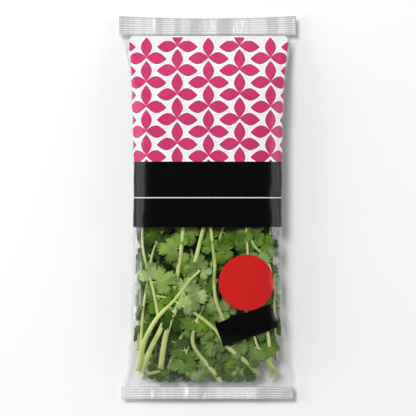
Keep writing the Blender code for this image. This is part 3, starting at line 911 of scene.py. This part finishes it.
@dataclass(frozen=True)
class LeafBlade:
    """A coriander leaflet: a fan of three lobes with round teeth, thin and slightly crumpled."""

    around: int = 104
    rings: int = 4
    thickness: float = 0.00022
    half_fan: float = 116.0
    lobe_turn: float = 61.0
    tooth_turn: float = 12.8

    def outline(self, angles: np.ndarray, dice: random.Random) -> np.ndarray:
        """The blade's reach at each angle from its midrib, as a share of its length.

        Args:
            angles: Angles in degrees.
            dice: Varies the outline.

        Returns:
            The reach at each angle.
        """
        away = np.abs(angles + dice.uniform(-4, 4))
        lobe = self.lobe_turn + dice.uniform(-4, 4)
        centre = 1.02 - 0.17 * (away / 30) ** 2
        side = (0.84 + dice.uniform(-0.06, 0.06)) * (1 - 0.20 * ((away - lobe) / 30) ** 2)
        reach = np.where(away < 32, centre, side)
        reach *= 1 - (0.40 + dice.uniform(-0.08, 0.08)) * np.exp(-(((away - 32) / 3.2) ** 2))
        reach *= 1 - 0.24 * np.exp(-(((away - lobe - 17) / 2.8) ** 2))
        teeth = np.abs(np.sin(np.radians(180 * (angles / self.tooth_turn + dice.uniform(0, 1))))) ** 0.5
        reach *= 0.78 + 0.22 * teeth
        return reach * np.clip((self.half_fan + 3 - away) / 14, 0.35, 1)

    def add(self, parts: MeshGathering, foot: np.ndarray, heading: float, length: float, level: float,
            tone_and_painted_shade: float, dice: random.Random) -> None:
        """Adds one blade.

        Args:
            parts: Where it goes.
            foot: Where its stalk meets it.
            heading: Its direction, in radians.
            length: From foot to tip.
            level: The level it lies on.
            tone_and_painted_shade: Its shade.
            dice: Varies it.
        """
        angles = np.linspace(-self.half_fan, self.half_fan, self.around + 1)
        reach = self.outline(angles, dice)
        share = (np.arange(1, self.rings + 1) / self.rings) ** 0.9
        r = np.concatenate([[0.0], (share[:, None] * reach[None]).ravel()])
        turn = np.concatenate([[0.0], np.tile(np.radians(angles), self.rings)])
        edge = np.concatenate([[0.0], np.repeat(share, self.around + 1)])
        x, y = r * np.sin(turn), r * np.cos(turn)
        fold, bend = dice.uniform(-0.16, 0.20), dice.uniform(-0.34, 0.16)
        z = -fold * np.abs(x) + bend * (y**2 + 0.4 * x**2)
        z += 0.030 * r * np.cos(turn * 360 / self.lobe_turn)
        z += 0.045 * edge**3 * r * np.sin(7 * turn + dice.uniform(0, 6.3))
        z += 0.030 * edge**2 * r * np.sin(15 * turn + dice.uniform(0, 6.3))
        pitch, roll = math.radians(dice.uniform(-20, 14)), math.radians(dice.uniform(-22, 22))
        y, z = y * math.cos(pitch) - z * math.sin(pitch), y * math.sin(pitch) + z * math.cos(pitch)
        x, z = x * math.cos(roll) + z * math.sin(roll), -x * math.sin(roll) + z * math.cos(roll)
        px = foot[0] + length * (y * math.cos(heading) - x * math.sin(heading))
        py = foot[1] + length * (y * math.sin(heading) + x * math.cos(heading))
        pz = foot[2] + length * z
        px, py, pz = fitted_inside(px, py, pz, level)
        top = np.stack([px, py, pz], axis=1)
        span = self.around + 1
        faces = [(0, i + 1, i + 2) for i in range(self.around)]
        for k in range(self.rings - 1):
            for i in range(self.around):
                first = 1 + k * span + i
                faces.append((first, first + span, first + span + 1, first + 1))
        faces = [tuple(reversed(face)) for face in faces]
        normals = surface_normals(top, faces)
        under = top - normals * self.thickness
        size = len(top)
        lower = [tuple(i + size for i in reversed(face)) for face in faces]
        rim = [0, *[1 + k * span for k in range(self.rings)],
               *[1 + (self.rings - 1) * span + i for i in range(1, self.around)],
               *[1 + k * span + self.around for k in reversed(range(self.rings))]]
        sides = [(b, a, a + size, b + size) for a, b in zip(rim, rim[1:] + rim[:1])]
        sides = [tuple(reversed(side)) for side in sides]
        places = np.stack([r * np.sin(turn), r * np.cos(turn)], axis=1)
        skins = [Skin.LEAF] * len(faces) + [Skin.UNDERSIDE] * len(lower) + [Skin.LEAF] * len(sides)
        parts.add(np.concatenate([top, under]), np.concatenate([places, places]), tone_and_painted_shade,
                  faces + lower + sides, skins)


def fitted_inside(x: np.ndarray, y: np.ndarray, z: np.ndarray,
                  level: float) -> tuple[np.ndarray, np.ndarray, np.ndarray]:
    """Presses points inside the bag, as its film presses the leaves.

    Args:
        x: Places across.
        y: Places along.
        z: Heights.
        level: The level they belong to.

    Returns:
        The places across, along and up.
    """
    slack = 1.2 * MM
    y = np.clip(y, SHAPE.bottom_inner + 1.5 * MM, SHAPE.top_inner - 1.5 * MM)
    limit = SHAPE.half_width(y) - 2.6 * MM
    x = np.sign(x) * (limit - slack * np.logaddexp(0, (limit - np.abs(x)) / slack))
    low, high = SHAPE.back(x, y, 1.2 * MM), SHAPE.front(x, y, 1.3 * MM)
    high = np.maximum(high, low + 0.3 * MM)
    # Leaves on the same level still lie at slightly different heights
    high = high - (SHAPE.levels - level) * 0.10 * MM
    soft = 0.35 * MM
    z = high - soft * np.logaddexp(0, (high - z) / soft)
    z = low + soft * np.logaddexp(0, (z - low) / soft)
    return x, y, z


def surface_normals(points: np.ndarray, faces: list[tuple[int, ...]]) -> np.ndarray:
    """Unit normals at the points of a mesh.

    Args:
        points: The mesh's points.
        faces: Its faces.

    Returns:
        One normal for each point.
    """
    corners = np.array([(face[0], face[1], face[-1]) for face in faces])
    first, second, last = (points[corners[:, k]] for k in range(3))
    cross = np.cross(second - first, last - first)
    normals = np.zeros_like(points)
    for k in range(3):
        np.add.at(normals, corners[:, k], cross)
    opposite = np.array([face[-2] for face in faces])
    np.add.at(normals, opposite, cross)
    return normals / np.maximum(np.linalg.norm(normals, axis=1, keepdims=True), 1e-12)


def smooth_route(route: np.ndarray, step: float) -> np.ndarray:
    """Points about step apart on one smooth curve through a route.

    Args:
        route: Its places, two or three numbers each.
        step: The wanted gap.

    Returns:
        The points.
    """
    ends = [2 * route[0] - route[1], *route, 2 * route[-1] - route[-2]]
    dense = []
    for p0, p1, p2, p3 in zip(ends, ends[1:], ends[2:], ends[3:]):
        for t in np.linspace(0, 1, 16, endpoint=False):
            dense.append(0.5 * (2 * p1 + (p2 - p0) * t + (2 * p0 - 5 * p1 + 4 * p2 - p3) * t**2
                                + (3 * p1 - p0 - 3 * p2 + p3) * t**3))
    line = np.array([*dense, route[-1]])
    run = np.concatenate([[0], np.cumsum(np.linalg.norm(np.diff(line, axis=0), axis=1))])
    stops = np.linspace(0, run[-1], max(4, round(run[-1] / step) + 1))
    return np.stack([np.interp(stops, run, line[:, k]) for k in range(line.shape[1])], axis=1)


@dataclass(frozen=True)
class Stalk:
    """A round ridged stalk along a line of points."""

    line: np.ndarray
    radii: np.ndarray
    sides: int = 12
    ridge: float = 0.035

    def add(self, parts: MeshGathering, tone_and_painted_shade: float, dice: random.Random) -> None:
        """Adds the stalk, with a slanting cut at its foot.

        Args:
            parts: Where it goes.
            tone_and_painted_shade: Its shade.
            dice: Varies its ridges and its cut.
        """
        tangents = np.gradient(self.line, axis=0)
        tangents /= np.linalg.norm(tangents, axis=1, keepdims=True)
        side = np.cross(tangents[0], (0, 0, 1.0))
        side /= max(np.linalg.norm(side), 1e-9)
        turns = np.linspace(0, 2 * math.pi, self.sides, endpoint=False)
        ridges = 1 + self.ridge * np.cos(5 * turns + dice.uniform(0, 6))
        rings = []
        for point, tangent, radius in zip(self.line, tangents, self.radii):
            side = side - tangent * np.dot(side, tangent)
            side /= np.linalg.norm(side)
            up = np.cross(side, tangent)
            rings.append(point + radius * ridges[:, None] * (np.cos(turns)[:, None] * side
                                                             + np.sin(turns)[:, None] * up))
        rings = np.array(rings)
        slant = self.radii[0] * (0.85 * np.sin(turns) + 0.2 * np.cos(turns + dice.uniform(0, 6)))
        rings[0] += slant[:, None] * tangents[0]
        count, sides = len(rings), self.sides
        run = np.concatenate([[0], np.cumsum(np.linalg.norm(np.diff(self.line, axis=0), axis=1))])
        points = np.concatenate([rings.reshape(-1, 3), self.line[:1], self.line[-1:]])
        places = np.stack([np.tile(turns / (2 * math.pi), count), np.repeat(run * 100, sides)], axis=1)
        places = np.concatenate([places, [(0.5, 0.0), (0.5, run[-1] * 100)]])
        faces, skins = [], []
        for k in range(count - 1):
            for i in range(sides):
                a, b = k * sides + i, k * sides + (i + 1) % sides
                faces.append((a, b, b + sides, a + sides))
                skins.append(Skin.STALK)
        last = (count - 1) * sides
        for i in range(sides):
            faces.append(((i + 1) % sides, i, count * sides))
            skins.append(Skin.CUT_END)
            faces.append((last + i, last + (i + 1) % sides, count * sides + 1))
            skins.append(Skin.STALK)
        faces = [tuple(reversed(face)) for face in faces]
        parts.add(points, places, tone_and_painted_shade, faces, skins)


class BladeForm(Enum):
    """How a leaf is divided; here it only sets how long a leaf's blades are for its span."""

    SINGLE = 1
    TRIPLE = 3


@dataclass
class Sprig:
    """One plant: a stem with its branches and its leaves.

    A leaf is its place across, its place along, its heading and its span.  A branch is its radius and its route.
    """

    name: str
    level: float
    radius: float
    stem: list[tuple[float, float]]
    leaves: list[tuple[float, float, float, float]]
    branches: list[tuple[float, list[tuple[float, float]]]] = field(default_factory=list)
    form: BladeForm = BladeForm.SINGLE
    tip_share: float = 0.42
    blade: LeafBlade = LeafBlade()

    def stalk_lines(self, dice: random.Random) -> list[Stalk]:
        """The stem and the branches as stalks that lie on the sprig's level."""
        stalks = []
        for thick, route in [(self.radius, self.stem), *self.branches]:
            plan = smooth_route(np.array(route) * MM, 3.0 * MM)
            radii = np.linspace(thick, thick * self.tip_share, len(plan)) * MM
            run = np.linspace(0, 1, len(plan))
            sway = 0.5 * MM * np.sin(run * dice.uniform(8, 14) + dice.uniform(0, 6)) * np.minimum(run * 5, 1)
            heights = SHAPE.level_height(plan[:, 0], plan[:, 1], self.level, radii) + sway
            stalks.append(Stalk(np.column_stack([plan, heights]), radii))
        return stalks

    def nearest_foot(self, stalks: list[Stalk], place: np.ndarray,
                     forward: np.ndarray) -> tuple[np.ndarray, np.ndarray]:
        """Where a leaf's stalk leaves the plant.

        Args:
            stalks: The stem and branches.
            place: The foot of the leaf.
            forward: The leaf's direction.

        Returns:
            The point on the stalk, and the stalk's direction there.
        """
        line = np.concatenate([stalk.line[:-1] for stalk in stalks])
        ahead = np.concatenate([np.diff(stalk.line, axis=0) for stalk in stalks])
        gaps = line[:, :2] - place
        distances = np.linalg.norm(gaps, axis=1)
        behind = gaps @ forward < -0.45 * distances
        nearest = int(np.argmin(np.where(behind, distances, distances + 0.2)))
        return line[nearest], ahead[nearest] / np.linalg.norm(ahead[nearest])

    def add_leaf(self, parts: MeshGathering, stalks: list[Stalk], leaf: tuple[float, float, float, float],
                 dice: random.Random) -> None:
        """Adds a leaf with its stalk.

        Args:
            parts: Where it goes.
            stalks: The stem and branches.
            leaf: Its place across and along, its heading and its span.
            dice: Varies it.
        """
        x, y, turn, span = leaf
        heading = math.radians(turn)
        forward = np.array([math.cos(heading), math.sin(heading)])
        span = span * MM
        length = span * (0.70 if self.form is BladeForm.SINGLE else 0.50)
        foot = np.array([x, y]) * MM - 0.46 * length * forward
        level = self.level + dice.uniform(-0.6, 0.6)
        start, along = self.nearest_foot(stalks, foot, forward)
        end = np.array([*foot, float(SHAPE.level_height(foot[0], foot[1], level, 0.5 * MM))])
        gap = float(np.linalg.norm(end - start))
        bend = start + along * gap * 0.35 + np.array([0, 0, dice.uniform(-0.6, 0.6) * MM])
        hold = end - np.array([*forward, 0]) * gap * 0.3
        near_start, near_end = 0.6 * bend + 0.4 * start, 0.6 * hold + 0.4 * end
        route = smooth_route(np.array([start, near_start, (bend + hold) / 2, near_end, end]), 2.2 * MM)
        route[:, 0], route[:, 1], route[:, 2] = fitted_inside(route[:, 0], route[:, 1], route[:, 2], self.level)
        Stalk(route, np.linspace(0.75, 0.42, len(route)) * MM, sides=8).add(parts, dice.uniform(0.1, 0.6), dice)
        # Painted shade and light: blades on lower levels get a lower number and so darker greens, and those at
        # the front paler ones; the rest of the spread is random
        level_share_for_painted_shade = min(self.level / 9.5, 1.0)
        tone_and_painted_shade = min(max(dice.gauss(0.02 + 0.60 * level_share_for_painted_shade**2.0, 0.04 + 0.24 * level_share_for_painted_shade), 0.0), 1.0)
        self.blade.add(parts, end, heading + math.radians(dice.uniform(-8, 8)), length, level, tone_and_painted_shade, dice)
        pair_length = length * dice.uniform(0.74, 0.98)
        for side in (-1, 1):
            lean = heading + side * math.radians(dice.uniform(62, 92))
            root = route[-min(4, len(route) - 1)]
            reach = np.array([math.cos(lean), math.sin(lean), 0]) * dice.uniform(2.0, 4.0) * MM
            tip = root + reach
            arch = root + reach * 0.5 + np.array([0, 0, 0.2 * MM])
            neck = smooth_route(np.array([root, arch, tip]), 1.2 * MM)
            Stalk(neck, np.linspace(0.45, 0.36, len(neck)) * MM, sides=6).add(parts, 0.4, dice)
            # The side blades take the main blade's painted shade, give or take a little
            shade = min(1.0, max(0.0, tone_and_painted_shade + dice.uniform(-0.15, 0.15)))
            self.blade.add(parts, tip, lean, pair_length, level - 0.3, shade, dice)

    def build(self, materials: list[bpy.types.Material], dice: random.Random) -> bpy.types.Object:
        """Builds the sprig and dresses it.

        Args:
            materials: One for each skin.
            dice: Varies it.

        Returns:
            The sprig's object.
        """
        parts = MeshGathering()
        stalks = self.stalk_lines(dice)
        for stalk in stalks:
            # Painted shade: stems on lower levels are given a darker number
            stalk.add(parts, dice.uniform(0.0, 0.2) + 0.8 * max(0.0, 1 - self.level / 8), dice)
        for leaf in self.leaves:
            self.add_leaf(parts, stalks, leaf, dice)
        made = parts.to_object(self.name + "_plant", materials)
        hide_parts(self.name)
        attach(made, ROOT)
        LOG.info("%s: %d points", made.name, parts.count)
        return made


# --- The bunch -----------------------------------------------------------------------------------------


@dataclass
class Bunch:
    """All of the herbs in the bag: sprigs listed one by one under the clear window, and rows of them behind."""

    # Each leaf finish lists its deep, fresh, pale and vein greens; the deep one is painted shade for blades
    # lower in the bag
    leaf_skin: LeafFinish = LeafFinish("leaf", (0.008, 0.028, 0.001), (0.138, 0.285, 0.008),
                                       (0.540, 0.740, 0.190), (0.680, 0.860, 0.260))
    under_skin: LeafFinish = LeafFinish("leaf_underside", (0.030, 0.080, 0.008), (0.190, 0.340, 0.045),
                                        (0.460, 0.600, 0.220), (0.540, 0.680, 0.280), sheen_roughness=0.6)
    stalk_skin: StalkFinish = StalkFinish()
    cut_skin: CutEndFinish = CutEndFinish()
    seed: int = 7
    lane_leaves: int = 4
    lane_span: float = 34.0
    lane_radius: float = 1.7
    lane_bow: float = 4.0
    lane_margin: float = 3.0
    lane_side: float = 12.0

    def front_sprigs(self) -> list[Sprig]:
        """The sprigs that lie under the clear window, from the cut end to the tip."""
        return [
            Sprig("forked_sprig", 10.2, 2.6,
                  [(-62.5, -147), (-58, -125), (-52, -110), (-43.9, -97.4), (-30, -83), (-16.6, -66),
                   (-6.5, -56)],
                  [(-7.4, -47.7, 80, 18), (-8.4, -80.5, 5, 26), (-28.2, -103.5, -70, 25),
                   (-37, -63, 25, 26), (-44, 52, 70, 26), (-56, 22, 120, 17)],
                  [(1.4, [(-44.2, -97.6), (-48.3, -75), (-54.3, -53), (-58.5, -29), (-56, 0), (-48, 36)])]),
            Sprig("left_long_sprig", 9.0, 2.5,
                  [(-59.5, -149), (-55, -136), (-49, -122.7), (-41.9, -108.9), (-35, -90), (-27, -60),
                   (-22, -20), (-21, 30), (-17, 78)],
                  [(-35.5, -38, 190, 24), (-13, -22, 20, 18), (-36, 4, 150, 24), (-6, 30, 40, 24),
                   (-34, 52, 140, 26), (-14, 94, 80, 28)]),
            Sprig("thick_sprig", 9.4, 2.7,
                  [(-41.9, -144.5), (-39.8, -128.2), (-36.5, -111.7), (-29, -92), (-17, -66), (-7, -32), (4, 20),
                   (10, 66)],
                  [(-22, -51, 150, 15), (16, 44, 40, 24), (-4, 68, 120, 22), (14, 84, 70, 26)]),
            Sprig("middle_sprig", 7.6, 1.9,
                  [(-35, -145), (-30, -131.5), (-23, -115), (-12, -90), (0, -62), (13, -20), (24, 30), (28, 84)],
                  [(-11, -66, 130, 20), (26, -22, 20, 24), (6, -10, 130, 22), (38, 26, 20, 26),
                   (14, 58, 120, 24), (30, 102, 80, 28)]),
            Sprig("crossing_sprig", 10.0, 2.4,
                  [(47, -151), (31.2, -135.5), (16.4, -123.4), (7.7, -109.8), (-12.2, -93.7), (-33, -82),
                   (-46, -79)],
                  [(-50, -88, 220, 20), (29, -116, 60, 24), (-20, -76, 60, 22)]),
            Sprig("low_left_sprig", 5.6, 1.8,
                  [(-60, -151.5), (-47.5, -149), (-32, -145.5), (-18, -142.5)],
                  [(-42.5, -141, 120, 18), (-19, -151.5, -80, 17), (-8, -141, 10, 18), (-32, -152, -90, 17),
                   (-50, -150, 220, 14)]),
            Sprig("front_centre_sprig", 9.0, 2.4,
                  [(13, -158), (3, -145), (-8.4, -131), (-13.5, -119), (-9, -100), (0, -82), (9, -64)],
                  [(-15.5, -110.5, -100, 21), (0.5, -112, -60, 19), (-3, -74, 120, 17)]),
            Sprig("right_upright_sprig", 10.4, 1.9,
                  [(57.5, -154), (55.8, -134), (54.6, -117.6), (50, -98), (42, -72), (36, -40), (34, 0)],
                  [(58, -118, 60, 14), (40, -96, 160, 22), (48, -48, 30, 24), (46, 8, 40, 24),
                   (24, 4, 130, 20)]),
            Sprig("right_slanting_sprig", 11.6, 1.9,
                  [(63, -150), (58, -142.5), (50.7, -134.2), (44, -122), (40, -108)],
                  [(41, -136, -100, 23), (50, -102, 40, 18)]),
            Sprig("window_top_sprig", 10, 1.9,
                  [(19, -112), (12, -95), (7, -80), (6, -62), (6.5, -50.7), (4.8, -37), (2.6, -18), (-6, 20),
                   (-20, 62)],
                  [(1, -91, 200, 16), (20, -93, -20, 17), (16, -35, 50, 21), (-18, 80, 110, 24),
                   (-2, 44, 60, 22)]),
            Sprig("low_thin_sprig", 11, 1.0,
                  [(-29.5, -147), (-25, -140), (-20.3, -133), (-16.8, -124)],
                  [(-27.5, -130, 200, 16), (-16.5, -146, -60, 19), (-7, -153, -80, 17)]),
            Sprig("low_right_sprig", 9.6, 1.1,
                  [(34, -108), (33, -122), (29, -138), (27, -147)],
                  [(36.5, -151, -50, 20), (20, -139, -110, 18), (25, -152, -100, 16)]),
            Sprig("hanging_sprig", 7.6, 1.2, [(3, -98), (7, -110), (11, -122)],
                  [(10, -134, -95, 20), (22, -124, -30, 15), (6, -150, -100, 18), (-3, -136, 220, 18),
                    (16, -150, -60, 17)]),
            Sprig("right_top_sprig", 10.6, 1.5,
                  [(58, -72), (56, -56), (51, -44), (41, -33), (37, -16), (41, 12), (46, 50)],
                  [(53, -31, 50, 20), (29, -25, 130, 23), (54, 26, 60, 19), (50, 66, 70, 24),
                   (34, 40, 130, 20)]),
            Sprig("left_edge_sprig", 6.8, 1.5,
                  [(-61.5, -137), (-60, -121.6), (-58, -93.7), (-55.5, -77), (-52.5, -62), (-50.3, -45),
                   (-45.3, -30), (-39, -16), (-38, 20), (-40, 60)],
                  [(-54.5, -36, 100, 17), (-49.5, -101, 20, 16), (-50, -8, 140, 20), (-52, 34, 130, 22),
                   (-38, 78, 90, 26)]),
            Sprig("far_left_sprig", 4.6, 1.3,
                  [(-63, -128), (-61, -100), (-60.5, -70), (-59.5, -40), (-57, 0), (-52, 44)],
                  [(-58, -84, 20, 15), (-51.5, -52, 40, 20), (-52, -118, 30, 18), (-48, 62, 70, 26)]),
            Sprig("far_right_sprig", 6.4, 1.3,
                  [(62, -138), (60.5, -110), (60, -84), (59.5, -50), (56, -20), (57, 20), (50, 72)],
                  [(56, -98, 140, 15), (57, -66, 130, 20), (57.5, -28, 60, 14), (46, 88, 100, 26),
                   (55, 44, 160, 20)]),
        ]

    def back_sprigs(self) -> list[Sprig]:
        """The sprigs behind, each along its own slanting lane."""
        lanes = [(0.2, -46, -50, -140, 118), (0.2, 2, -6, -146, 128), (0.2, 48, 44, -132, 112),
                 (1.5, -24, -30, -148, 132), (1.5, 26, 22, -144, 124), (2.7, -52, -16, -120, 136),
                 (2.7, -4, 34, -138, 136), (3.9, 54, 12, -128, 140), (3.9, 6, -44, -150, 126),
                 (5.1, 36, 52, -116, 126)]
        dice = random.Random(self.seed)
        sprigs = []
        for number, (level, foot_x, tip_x, foot_y, tip_y) in enumerate(lanes, start=1):
            bow = dice.uniform(-self.lane_bow, self.lane_bow)
            stem = [(foot_x + (tip_x - foot_x) * t + bow * math.sin(math.pi * t), foot_y + (tip_y - foot_y) * t)
                    for t in (0, 0.25, 0.5, 0.75, 1)]
            leaves = []
            for leaf in range(self.lane_leaves):
                t = (leaf + 0.7) / self.lane_leaves
                side = 1 if leaf % 2 else -1
                x = foot_x + (tip_x - foot_x) * t + side * self.lane_side
                y = foot_y + (tip_y - foot_y) * t + 8
                heading = 90 - side * dice.uniform(35, 65)
                limit = float(SHAPE.half_width(np.array(y * MM))) / MM - self.lane_span / 2 - self.lane_margin
                leaves.append((min(max(x, -limit), limit), y, heading, self.lane_span))
            sprigs.append(Sprig(f"back_sprig_{number:02d}", level, self.lane_radius, stem, leaves,
                                form=BladeForm.TRIPLE))
        return sprigs

    def fuller(self, sprig: Sprig, dice: random.Random, gap: float, span: tuple[float, float]) -> None:
        """Adds leaves between a sprig's own, along its stem.

        Args:
            sprig: The sprig.
            dice: Places them.
            gap: The distance between them along the stem, in millimetres.
            span: The least and greatest size of a leaf.
        """
        plan = smooth_route(np.array(sprig.stem, float), gap)
        side = 1
        for (x, y), (ahead_x, ahead_y) in zip(plan[1:], np.diff(plan, axis=0)):
            side = -side
            course = math.degrees(math.atan2(ahead_y, ahead_x))
            size = dice.uniform(*span)
            turn = course - side * dice.uniform(30, 80)
            reach = dice.uniform(8, 17)
            place_x = x + reach * math.cos(math.radians(turn))
            place_y = y + reach * math.sin(math.radians(turn))
            limit = float(SHAPE.half_width(np.array(place_y * MM))) / MM - 8
            if abs(place_x) < limit and -150 < place_y < 140:
                sprig.leaves.append((place_x, place_y, turn, size))

    def build(self) -> list[bpy.types.Object]:
        """Builds every sprig.

        Returns:
            The sprigs' objects.
        """
        materials = [self.leaf_skin.material(), self.under_skin.material(), self.stalk_skin.material(),
                     self.cut_skin.material()]
        made = []
        dice = random.Random(self.seed + 100)
        for sprig in self.front_sprigs():
            if sprig.level < 8.5:
                self.fuller(sprig, dice, 17.0, (17.0, 22.0))
            made.append(sprig.build(materials, dice))
        for sprig in self.back_sprigs():
            self.fuller(sprig, dice, 16.0, (26.0, 36.0))
            made.append(sprig.build(materials, dice))
        return made


# --- The studio ----------------------------------------------------------------------------------------


@dataclass
class Studio:
    """A pale floor, soft light from above and both sides, and a camera straight above the bag."""

    floor_size: float = 6.0
    floor_drop: float = 0.0004
    lens: float = 200.0
    sensor: float = 36.0
    view_width: float = 0.3744
    focus_height: float = 0.020
    sky_low: float = 0.38
    sky_high: float = 0.02
    film_layers: int = 32

    def build_floor(self) -> None:
        """Lays the floor."""
        half = self.floor_size / 2
        mesh = bpy.data.meshes.new("floor")
        points = [(-half, -half, 0), (half, -half, 0), (half, half, 0), (-half, half, 0)]
        mesh.from_pydata([(x, y, -self.floor_drop) for x, y, _ in points], [], [(0, 1, 2, 3)])
        mesh.materials.append(FloorFinish().material())
        floor = bpy.data.objects.new("floor", mesh)
        bpy.context.scene.collection.objects.link(floor)

    def add_softbox(self, name: str, place: tuple[float, float, float], size: tuple[float, float], power: float,
                    in_gloss: bool = True) -> None:
        """Hangs a softbox that faces the bag.

        Args:
            name: The light's name.
            place: Where it hangs.
            size: Its width and height.
            power: Its power in watts.
            in_gloss: Whether gloss shows it.
        """
        data = bpy.data.lights.new(name, "AREA")
        data.shape = "RECTANGLE"
        data.size, data.size_y = size
        data.energy = power
        light = bpy.data.objects.new(name, data)
        bpy.context.scene.collection.objects.link(light)
        light.location = place
        away = np.array(place) / np.linalg.norm(place)
        light.rotation_mode = "QUATERNION"
        light.rotation_quaternion = Vector(away.tolist()).to_track_quat("Z", "Y")
        light.visible_camera = False
        light.visible_glossy = in_gloss

    def build_sky(self) -> None:
        """Surrounds the scene with light that is bright low down and dark straight above."""
        world = bpy.data.worlds.new("studio")
        world.use_nodes = True
        tree = world.node_tree
        place = tree.nodes.new("ShaderNodeTexCoord")
        split = tree.nodes.new("ShaderNodeSeparateXYZ")
        fade = tree.nodes.new("ShaderNodeMapRange")
        fade.interpolation_type = "SMOOTHSTEP"
        limits = {"From Min": 0.62, "From Max": 0.90, "To Min": self.sky_low, "To Max": self.sky_high}
        for name, value in limits.items():
            fade.inputs[name].default_value = value
        tree.links.new(place.outputs["Generated"], split.inputs[0])
        tree.links.new(split.outputs[2], fade.inputs["Value"])
        tree.links.new(fade.outputs["Result"], tree.nodes["Background"].inputs["Strength"])
        tree.nodes["Background"].inputs["Color"].default_value = (1, 1, 1, 1)
        bpy.context.scene.world = world

    def place_camera(self) -> None:
        """Hangs the camera straight above, with the bag's top end up."""
        data = bpy.data.cameras.new("camera")
        data.lens = self.lens
        data.sensor_width = self.sensor
        data.clip_end = 20.0
        camera = bpy.data.objects.new("camera", data)
        bpy.context.scene.collection.objects.link(camera)
        camera.location = (0.0004, -0.0004, self.focus_height + self.view_width * self.lens / self.sensor)
        bpy.context.scene.camera = camera

    def build(self) -> None:
        """Sets up the studio."""
        self.build_floor()
        self.build_sky()
        self.place_camera()
        self.add_softbox("left_softbox", (-1.6, 0.2, 0.55), (0.8, 1.8), 13.0)
        self.add_softbox("right_softbox", (1.6, 0.2, 0.60), (0.6, 1.8), 8.0)
        self.add_softbox("top_fill", (-0.7, 0.9, 2.5), (0.8, 0.8), 50.0, in_gloss=False)
        bpy.context.scene.view_settings.view_transform = "Standard"
        bpy.context.scene.cycles.transparent_max_bounces = self.film_layers


def main() -> None:
    """Builds the studio, the bag and its herbs."""
    logging.basicConfig(level=logging.INFO, format="%(name)s: %(message)s")
    Studio().build()
    PillowBag(SHAPE, PrintedFilm()).build()
    Bunch().build()


if __name__ == "__main__":
    main()
